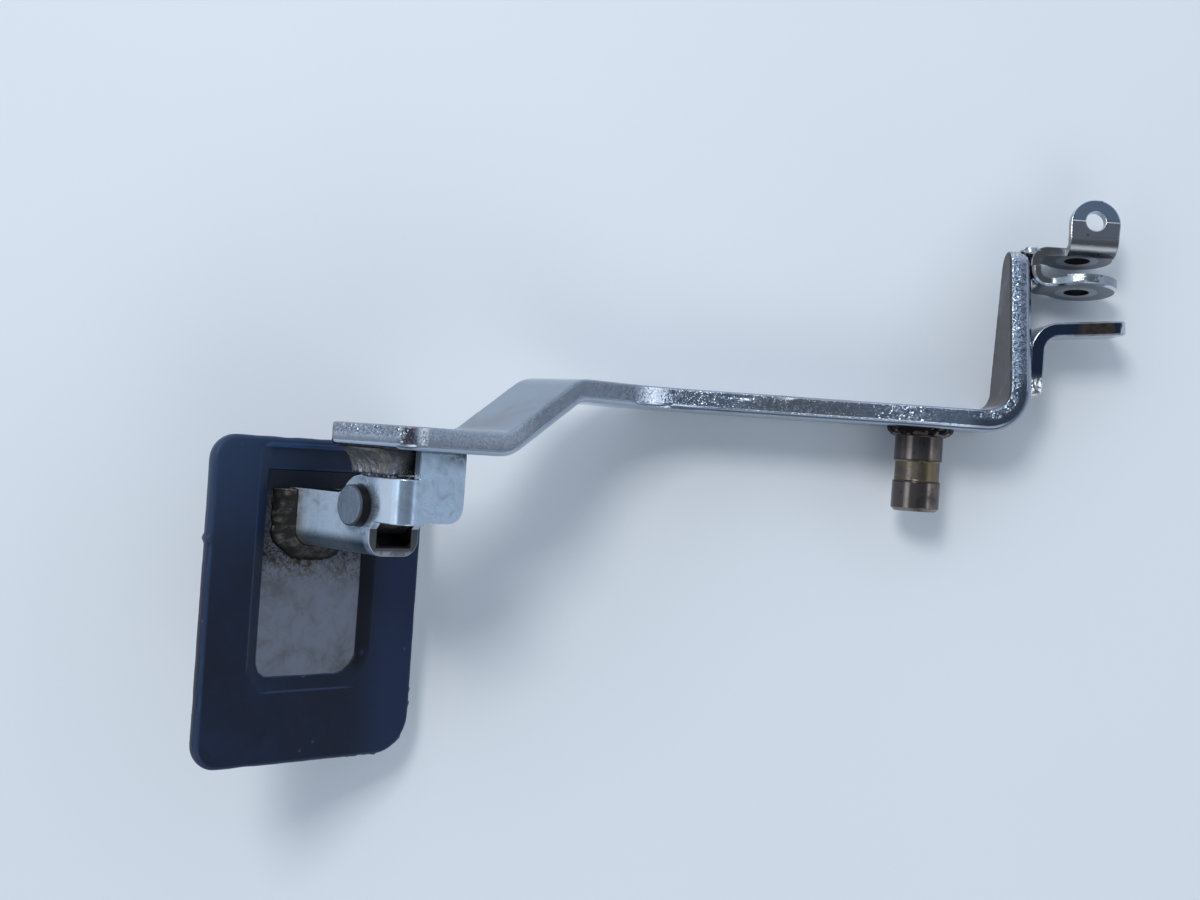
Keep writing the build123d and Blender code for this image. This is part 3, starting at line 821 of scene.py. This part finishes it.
pin = {
    "end": (0.125, 0.155, 0.20, 1), "side": (0.008, 0.007, 0.007, 1), "dust": (0.28, 0.33, 0.40, 1),
    "headFrom": 6.9 * mm, "headRadius": 5.1 * mm, "crease": math.radians(30),
    "edgeRadius": 0.4 * mm, "bump": (0.5, 0.15 * mm), "metal": 0.7, "smooth": 0.4, "dull": 0.1,
}


def makePinSteel():
    material, tree, shader = newMaterial("pin steel", Specular_IOR_Level=0.2)
    edge = rimmed(tree, pin)
    flat = fade(tree, maths(tree, "ABSOLUTE", looking(tree, padFore)), 0.6, 0.9)
    fine = grained(tree, 4200.0, 0.35)
    lines = streaked(tree, 1500.0, 0.12, 0.7)
    endTone = painted(tree, pin["end"], pin, [
        ("dust", 1, most(tree, times(tree, fine["Mask"], 0.7), times(tree, lines, 0.7))),
        # painted highlight on the end's rim
        ("dust", 0.5, edge["Mask"]),
    ])
    # the sides near black: oxide and painted shade
    colour = tint(tree, flat, pin["side"], endTone)
    metal = times(tree, flat, pin["metal"])
    gloss = raised(tree, fine["Mask"], pin["dull"], pin["smooth"])
    normal = bumped(tree, fine["Height"], *pin["bump"], edge["Normal"])
    plug(tree, shader, Base_Color=colour, Metallic=metal, Roughness=gloss, Normal=normal)
    return material


def makePin():  # the head behind the rear web is peened small
    mesh = nodes["hinge_pin"].data.copy()
    mesh.transform(padFrame.inverted())
    for vert in mesh.vertices:
        x, y, z = vert.co
        radius = math.hypot(y, z)
        if x > pin["headFrom"] and radius > pin["headRadius"]:
            vert.co = (x, y * pin["headRadius"] / radius, z * pin["headRadius"] / radius)
    mesh.transform(padFrame)
    piece = newPiece("hingePin", mesh, makePinSteel(), "pad")
    mesh.set_sharp_from_angle(angle=pin["crease"])
    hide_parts("hinge_pin")


makePin()
print("hinge pin done")


# Pivot shaft: turned steel with brown film and olive grease in the groove

shaft = {
    "steel": (0.26, 0.21, 0.185, 1), "film": (0.060, 0.038, 0.026, 1), "grease": (0.21, 0.165, 0.085, 1),
    "flank": (0.050, 0.042, 0.045, 1), "scorch": (0.03, 0.025, 0.027, 1),
    "groove": inMm(-11.5, -6.1, 0.2), "nearRing": inMm(-6.2, -5.85, 0.12),
    "farRing": inMm(-11.75, -11.4, 0.12), "scorchRun": inMm(-6.0, -0.6), "beadEdge": inMm(6.1, 6.3),
    "edgeRadius": 0.3 * mm, "bump": (0.06, 0.05 * mm), "turnedLines": 9000.0,
    "turned": 0.2, "filmDull": 0.08, "grooveDull": 0.1,
}


def makeShaftSteel():
    material, tree, shader = newMaterial("turned steel", Specular_IOR_Level=0.25)
    edge = rimmed(tree, shaft)
    x, y, z = axes(tree, place(tree))
    film = stained(tree, 170.0, 0.55, 0.3)
    grease = stained(tree, 190.0, 0.85, 0.3)
    dots = spotted(tree, 900.0, 0.14, 0.4)
    groove = band(tree, y, *shaft["groove"])
    rings = most(tree, band(tree, y, *shaft["nearRing"]), band(tree, y, *shaft["farRing"]))
    scorch = fade(tree, y, *shaft["scorchRun"])
    scorch = most(tree, scorch, fade(tree, reach(tree, x, z), *shaft["beadEdge"]))
    flank = fade(tree, maths(tree, "ABSOLUTE", looking(tree, (1, 0, 0))), 0.5, 0.85)
    bare = less(tree, times(tree, flank, 0.6))
    level = addNode(tree, "CombineXYZ", ins={1: y}).outputs[0]
    turned = clouds(tree, level, shaft["turnedLines"], Detail=2.0)[0]
    colour = painted(tree, shaft["steel"], shaft, [
        ("film", 0.85, film),
        ("flank", 0.85, flank),
        ("scorch", 0.6, scorch),
        ("grease", 1, groove, grease, bare),
        ("scorch", 0.6, dots),
        ("scorch", 0.7, rings),
    ])
    gloss = raised(tree, film, shaft["filmDull"], shaft["turned"])
    gloss = raised(tree, groove, shaft["grooveDull"], gloss)
    normal = bumped(tree, turned, *shaft["bump"], edge["Normal"])
    plug(tree, shader, Base_Color=colour, Roughness=gloss, Metallic=bare, Normal=normal)
    return material


dress("pivot_shaft", makeShaftSteel())
print("pivot shaft done")


# Pad plate: dull plated steel, rust below the bracket, painted shade above it

plate = {
    "steel": (0.196, 0.212, 0.260, 1), "cloud": (0.120, 0.120, 0.130, 1),
    "chip": (0.026, 0.020, 0.012, 1), "rust": (0.085, 0.062, 0.027, 1),
    "sootAndShade": (0.0075, 0.0115, 0.023, 1),
    "rustSide": inMm(-26.0, -14.5), "grimeSide": inMm(-17.5, -13.0), "shadeSide": inMm(-1.5, 1.5),
    "besideAlong": inMm(-9.5, -11.5), "besideSide": inMm(-13, -9),
    "bump": (0.25, 0.12 * mm), "metal": 0.7, "smooth": 0.45, "dull": 0.2,
}


def makePlateSteel():
    material, tree, shader = newMaterial("plate steel", Specular_IOR_Level=0.25)
    spot = useGroup(tree, padPlace)
    along, side = spot["Along"], spot["Side"]
    cloud = stained(tree, 90.0, 0.55, 0.3)
    smear = stained(tree, 130.0, 0.5, 0.4)
    patch = stained(tree, 800.0, 0.66, 0.12)
    area = stained(tree, 210.0, 0.95, 0.35)
    chips = stained(tree, 1500.0, 0.5, 0.1)
    blotch = stained(tree, 260.0, 0.66, 0.3)
    dots = spotted(tree, 300.0, 0.12, 0.22)
    crumbs = spotted(tree, 1300.0, 0.2, 0.42)
    fine = grained(tree, 2800.0, 0.35)
    high = fade(tree, side, *plate["rustSide"])
    high = times(tree, high, high)
    # under the bracket's wall: grime and a painted contact shadow
    grime = times(tree, fade(tree, side, *plate["grimeSide"]), raised(tree, chips, 0.6, 0.35))
    beside = times(tree, fade(tree, along, *plate["besideAlong"]), fade(tree, side, *plate["besideSide"]))
    shade = most(tree, fade(tree, side, *plate["shadeSide"]), times(tree, beside, 0.7))
    rusty = most(tree, times(tree, patch, area, high), times(tree, smear, 0.45),
                 times(tree, patch, smear, 0.9))
    dark = most(tree, times(tree, chips, area, high, 0.7), times(tree, dots, 0.6),
                times(tree, crumbs, cloud, 0.5))
    colour = painted(tree, plate["steel"], plate, [
        ("cloud", 1, cloud),
        ("cloud", 0.4, blotch),
        ("rust", 1, rusty),
        ("chip", 1, dark),
        # grime, and painted shade above the bracket and beside the bead
        ("sootAndShade", 1, most(tree, grime, shade)),
    ])
    metal = times(tree, less(tree, shade), plate["metal"])
    gloss = raised(tree, most(tree, rusty, shade), plate["dull"], plate["smooth"])
    normal = bumped(tree, fine["Height"], *plate["bump"], plainNormal(tree))
    plug(tree, shader, Base_Color=colour, Metallic=metal, Roughness=gloss, Normal=normal)
    return material


dress("pad_plate", makePlateSteel())
print("plate done")


# Weld beads: lumpy copies that stand for the plain solids

beads = {
    "burnt": (0.014, 0.012, 0.011, 1), "rust": (0.07, 0.048, 0.026, 1), "olive": (0.080, 0.076, 0.070, 1),
    "scorched": (0.022, 0.018, 0.017, 1), "chrome": (0.66, 0.70, 0.76, 1),
    "footHigh": 1.6 * mm, "bump": (0.35, 0.2 * mm), "smooth": 0.3, "dull": 0.2,
}


def makeBeadSteel(name, base, burntShare, rustShare, foot=None):
    material, tree, shader = newMaterial(name, Metallic=1.0)
    burnt = stained(tree, 190.0, burntShare, 0.22)
    rust = stained(tree, 330.0, rustShare, 0.15)
    fine = grained(tree, 2400.0, 0.4)
    layers = [("rust", 0.5, rust), ("burnt", 0.9, burnt)]
    if foot is not None:
        lift = useGroup(tree, padPlace)["Lift"]
        # painted shade in the crevice along the foot of the bead
        layers.append(("burnt", 0.95, fade(tree, lift, foot + beads["footHigh"], foot)))
    colour = painted(tree, beads[base], beads, layers)
    gloss = raised(tree, burnt, beads["dull"], beads["smooth"])
    normal = bumped(tree, fine["Height"], *beads["bump"], plainNormal(tree))
    plug(tree, shader, Base_Color=colour, Roughness=gloss, Normal=normal)
    return material


def lumpyBead(node, settings, seed, frameMatrix=None):
    mesh = remeshed(node, settings["voxel"], frameMatrix)
    relaxed(mesh, 4)
    lumped(mesh, settings["scale"], settings["lumps"], seed)
    relaxed(mesh, 1)
    return mesh


clevisBead = {"voxel": 0.18 * mm, "scale": 520.0, "lumps": 0.2 * mm}
platedBead = makeBeadSteel("plated bead", "chrome", 0.5, 0.3)


def makeClevisBead(node, name):
    mesh = lumpyBead(node, clevisBead, len(name))
    piece = newPiece(name, mesh, platedBead, "lever")
    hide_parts(node)


makeClevisBead("clevis_weld_top", "clevisBeadTop")
makeClevisBead("clevis_weld_bottom", "clevisBeadLow")

bracketBead = {
    "voxel": 0.36 * mm, "scale": 240.0, "lumps": 0.42 * mm, "seed": 5.0, "foreFrom": -7.5 * mm,
    "foreRun": 3.0 * mm, "lowRun": 4.0 * mm, "spread": 1.3 * mm, "floor": -27.4 * mm, "sink": 0.2 * mm,
    "ragged": 0.9, "raggedMean": 0.8, "raggedScale": 340.0,
}


def makeBracketBead():
    bead = bracketBead
    mesh = lumpyBead("bracket_weld", bead, bead["seed"], padFrame)
    for vert in mesh.vertices:
        x, y, z = vert.co
        fore = within((bead["foreFrom"] - x) / bead["foreRun"])
        low = within(1.0 - (z - bead["floor"]) / bead["lowRun"])
        wave = noise.noise(Vector((y * bead["raggedScale"], 2.0, 0.0)))
        ragged = bead["raggedMean"] + bead["ragged"] * wave
        vert.co.x -= bead["spread"] * fore * low * ragged
        vert.co.z = max(vert.co.z, bead["floor"] - bead["sink"])
    mesh.transform(padFrame)
    material = makeBeadSteel("burnt bead", "olive", 0.55, 0.5, bead["floor"])
    piece = newPiece("bracketBead", mesh, material, "pad")
    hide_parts("bracket_weld")


makeBracketBead()

shaftBead = {
    "shaftRadius": 6.0 * mm, "face": 2.1 * mm, "leg": 2.15 * mm, "lumps": 0.5 * mm, "flat": 0.88,
    "turns": 140, "steps": 14, "upFrom": -14, "upSpan": 118, "heel": 0.6 * mm, "sink": 0.5 * mm,
    "lumpsRound": 5.5, "lumpsUp": 1.6,
}


def makeShaftBead():
    bead = shaftBead
    shape = bmesh.new()
    rings = []
    for i in range(bead["turns"]):
        around = 2 * math.pi * i / bead["turns"]
        outward = Vector((math.cos(around), 0, math.sin(around)))
        ring = []
        for j in range(bead["steps"]):
            up = math.radians(bead["upFrom"] + bead["upSpan"] * j / (bead["steps"] - 1))
            spot = Vector((outward.x, outward.z, 0)) * bead["lumpsRound"]
            spot.z = bead["lumpsUp"] * up
            size = bead["leg"] + bead["lumps"] * roughness(spot)
            point = outward * (bead["shaftRadius"] + size * math.cos(up))
            point.y = bead["face"] - size * math.sin(up) * bead["flat"]
            ring.append(shape.verts.new(point))
        heel = outward * (bead["shaftRadius"] - bead["heel"])
        heel.y = bead["face"] + bead["sink"]
        ring.append(shape.verts.new(heel))
        rings.append(ring)
    for i, ring in enumerate(rings):
        following = rings[(i + 1) % len(rings)]
        for j in range(len(ring)):
            k = (j + 1) % len(ring)
            shape.faces.new((ring[j], ring[k], following[k], following[j]))
    bmesh.ops.recalc_face_normals(shape, faces=shape.faces)
    mesh = bpy.data.meshes.new("shaftBead")
    shape.to_mesh(mesh)
    shape.free()
    material = makeBeadSteel("scorched bead", "scorched", 0.95, 0.3)
    newPiece("shaftBead", mesh, material, "lever")


makeShaftBead()
print("weld beads done")


# Rubber pad: a moulded sole, softened, with its nub and torn flash

rubber = {
    "black": (0.0055, 0.0098, 0.0250, 1), "navy": (0.010, 0.023, 0.068, 1),
    "bloom": (0.029, 0.051, 0.108, 1), "deep": (0.0028, 0.0028, 0.0045, 1),
    "dust": (0.10, 0.105, 0.11, 1), "lit": (0.080, 0.150, 0.330, 1),
    "inboardSide": inMm(-26, 13), "inboardAlong": inMm(12, -27), "wallAlong": inMm(0, 8),
    "outboardAlong": inMm(-14, -18), "outboardSide": inMm(-50, -20, 8), "aft": inMm(12, 26),
    "creaseLeft": inMm(-17.0, -16.6, 0.2), "leftRun": inMm(-41, 10, 2), "bevelSide": inMm(5, 10),
    "creaseLow": inMm(-46.5, -46.1, 0.2), "lowRun": inMm(-12, 13, 2),
    "bump": (0.22, 0.15 * mm), "smooth": 0.42, "patchDull": 0.08, "scuffGloss": -0.08,
    "voxel": 0.42 * mm, "unevenScale": 150.0, "uneven": 0.04 * mm, "seed": 3.0, "edgeTurn": 0.75,
    "waveScale": 160.0, "wave": 0.25 * mm, "flashCorner": inMm(10, -40), "flashScale": 520.0,
    "flashFrom": 0.08, "flash": 1.44 * mm, "finLift": -26.4 * mm, "finHalf": 1.6 * mm,
    "front": -28.5 * mm, "nubPlace": -10.1 * mm, "nubHalf": 0.8 * mm, "nubOut": 0.68 * mm,
}


def makeRubber():
    material, tree, shader = newMaterial("moulded rubber", Specular_IOR_Level=0.22)
    spot = useGroup(tree, padPlace)
    along, side = spot["Along"], spot["Side"]
    patches = stained(tree, 40.0, 0.62, 0.35)
    mottle = stained(tree, 190.0, 0.5, 0.35)
    scuffs = streaked(tree, 260.0, 0.1, 0.34)
    dots = spotted(tree, 380.0, 0.03, 0.2)
    fine = grained(tree, 2600.0, 0.3)
    inboard = fade(tree, side, *rubber["inboardSide"])
    inboard = times(tree, inboard, fade(tree, along, *rubber["inboardAlong"], 0.15, 1.0))
    outboard = fade(tree, along, *rubber["outboardAlong"])
    outboard = times(tree, outboard, band(tree, side, *rubber["outboardSide"]))
    aft = fade(tree, along, *rubber["aft"])
    rim = fade(tree, addNode(tree, "NewGeometry").outputs["Pointiness"], 0.505, 0.535)
    wall = fade(tree, looking(tree, padFore), 0.15, 0.5)
    wall = times(tree, wall, fade(tree, along, *rubber["wallAlong"]))
    bevel = fade(tree, looking(tree, (0, -1, 0)), 0.2, 0.6)
    bevel = times(tree, bevel, fade(tree, side, *rubber["bevelSide"]))
    left = times(tree, band(tree, along, *rubber["creaseLeft"]), band(tree, side, *rubber["leftRun"]))
    lower = times(tree, band(tree, side, *rubber["creaseLow"]), band(tree, along, *rubber["lowRun"]))
    colour = painted(tree, rubber["black"], rubber, [
        ("navy", 1, most(tree, times(tree, patches, 0.8), times(tree, aft, 0.85))),
        # lighter towards the inboard edge: rubber bloom and painted sheen
        ("bloom", 0.85, inboard),
        ("deep", 0.6, outboard, patches),
        ("bloom", 0.1, mottle),
        # lighter convex rims: wear and painted highlight
        ("bloom", 0.9, rim),
        # painted highlight lines along the window bevel's left and lower edges
        ("bloom", 0.7, most(tree, left, lower)),
        ("lit", 0.9, bevel),
        # painted shade on the window's wall that faces forward
        ("deep", 0.8, wall),
        ("dust", 0.07, scuffs),
        ("dust", 0.4, dots),
    ])
    gloss = raised(tree, patches, rubber["patchDull"], rubber["smooth"])
    gloss = raised(tree, scuffs, rubber["scuffGloss"], gloss)
    normal = bumped(tree, fine["Height"], *rubber["bump"], plainNormal(tree))
    plug(tree, shader, Base_Color=colour, Roughness=gloss, Normal=normal)
    return material


def soleMove(vert):  # the waves of the outer edge, the torn flash and the nub
    x, y, z = vert.co
    flat = Vector((vert.normal.x, vert.normal.y, 0))
    move = Vector()
    if flat.length > rubber["edgeTurn"]:
        hollow = noise.noise(Vector((x * rubber["waveScale"], y * rubber["waveScale"], 1.0)))
        move -= flat * rubber["wave"] * max(hollow, 0.0)
        if x > rubber["flashCorner"][0] and y < rubber["flashCorner"][1]:
            tear = noise.noise(Vector((x * rubber["flashScale"], y * rubber["flashScale"], 0.0)))
            fin = max(1.0 - abs(z - rubber["finLift"]) / rubber["finHalf"], 0.0)
            move += flat * rubber["flash"] * max(tear - rubber["flashFrom"], 0.0) * fin
    if x < rubber["front"]:
        away = (y - rubber["nubPlace"]) / rubber["nubHalf"]
        move.x -= rubber["nubOut"] * math.exp(-away * away)
    return move


def makeSole():
    mesh = remeshed("rubber_pad", rubber["voxel"], padFrame)
    relaxed(mesh, 4)
    lumped(mesh, rubber["unevenScale"], rubber["uneven"], rubber["seed"])
    moved(mesh, soleMove)
    mesh.transform(padFrame)
    for vert in mesh.vertices:
        vert.co.x = max(vert.co.x, cadBox[0][0])
        vert.co.y = max(vert.co.y, cadBox[0][1])
    piece = newPiece("rubberSole", mesh, makeRubber(), "pad")
    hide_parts("rubber_pad")


makeSole()
print("rubber pad done")


# Floor, light and camera

stage = {"floor": (0.81, 0.835, 0.865, 1), "paler": 1.04, "size": 3.0, "gap": 0.1 * mm, "clouds": 9.0}


def makeFloor():
    mesh = bpy.data.meshes.new("floor")
    half = stage["size"] / 2
    level = cadBox[0][2] - stage["gap"]
    corners = [(-half, -half, level), (half, -half, level), (half, half, level), (-half, half, level)]
    mesh.from_pydata(corners, [], [(0, 1, 2, 3)])
    material, tree, shader = newMaterial("pale floor", Roughness=0.6)
    cloud = clouds(tree, place(tree), stage["clouds"], Detail=3.0)[0]
    paler = tuple(min(1.0, c * stage["paler"]) for c in stage["floor"][:3]) + (1,)
    plug(tree, shader, Base_Color=tint(tree, cloud, stage["floor"], paler))
    mesh.materials.append(material)
    floor = newThing("floor", mesh)


# Each side of the sky: where it starts and ends, and how bright it is there
sky = {
    "overhead": (0.10, 0.13, 0.175, 1), "cool": (0.85, 0.98, 1.15, 1), "dark": (0, 0, 0, 1),
    "darkFrom": 0.68, "darkTo": 0.77, "ringFrom": 0.44, "ringTo": 0.58, "lean": 0.08, "ring": 1.3,
    "dimRing": (-0.65, 0.0, 0.6, 1.0), "farSide": (-0.6, 0.5, 0.22, 0.72),
    "leftSide": (-0.3, -0.9, 0.0, 0.82), "rightSide": (0.5, 0.95, 0.0, 0.42),
}


def makeSky():
    world = bpy.data.worlds.new("soft room")
    world.use_nodes = True
    tree = world.node_tree
    x, y, up = axes(tree, addNode(tree, "TexCoord").outputs["Generated"])
    side = most(tree, fade(tree, y, *sky["farSide"]), fade(tree, x, *sky["leftSide"]),
                fade(tree, x, *sky["rightSide"]))
    ring = times(tree, fade(tree, y, *sky["dimRing"]), sky["ring"])
    inRing = fade(tree, up, sky["ringFrom"], sky["ringTo"])
    level = addNode(tree, "Mix", ins={0: inRing, 2: side, 3: ring}).outputs[0]
    shifted = raised(tree, most(tree, x, 0.0), sky["lean"], up)
    colour = tint(tree, level, sky["dark"], sky["cool"])
    tree.nodes[-1].clamp_factor = False  # the ring may be brighter than one
    colour = tint(tree, fade(tree, shifted, sky["darkFrom"], sky["darkTo"]), colour, sky["overhead"])
    plug(tree, tree.nodes["Background"].inputs, Color=colour)
    bpy.context.scene.world = world


lamps = {
    "window": {"way": (-0.28, 0.46, 0.84), "size": 0.36, "power": 6.2, "colour": (0.98, 0.99, 1.0)},
    "fill": {"way": (0.30, -0.62, 0.72), "size": 0.8, "power": 2.2, "colour": (0.96, 0.99, 1.0)},
}
lampReach = 1.3
lampMiddle = Vector(inMm(-60, -10, 0))


def makeLamp(name, settings):
    lamp = bpy.data.lights.new(name, "AREA")
    lamp.size = settings["size"]
    lamp.energy = settings["power"]
    lamp.color = settings["colour"]
    thing = newThing(name, lamp)
    way = Vector(settings["way"]).normalized()
    thing.location = lampMiddle + way * lampReach
    thing.rotation_euler = way.to_track_quat("Z", "Y").to_euler()


photoView = {
    "place": inMm(-80.39, -9.04, 405.0), "roll": 4.0, "lens": 48.0, "sensor": 36.0, "nearest": 0.01,
}


def makeCamera():
    lens = bpy.data.cameras.new("photoView")
    lens.lens = photoView["lens"]
    lens.sensor_width = photoView["sensor"]
    lens.clip_start = photoView["nearest"]
    camera = newThing("photoView", lens)
    camera.location = photoView["place"]
    camera.rotation_euler = (0, 0, math.radians(photoView["roll"]))
    bpy.context.scene.camera = camera


makeFloor()
makeSky()
for name, settings in lamps.items():
    makeLamp(name, settings)
makeCamera()
bpy.context.scene.view_settings.view_transform = "Standard"
print("floor, light and camera done")
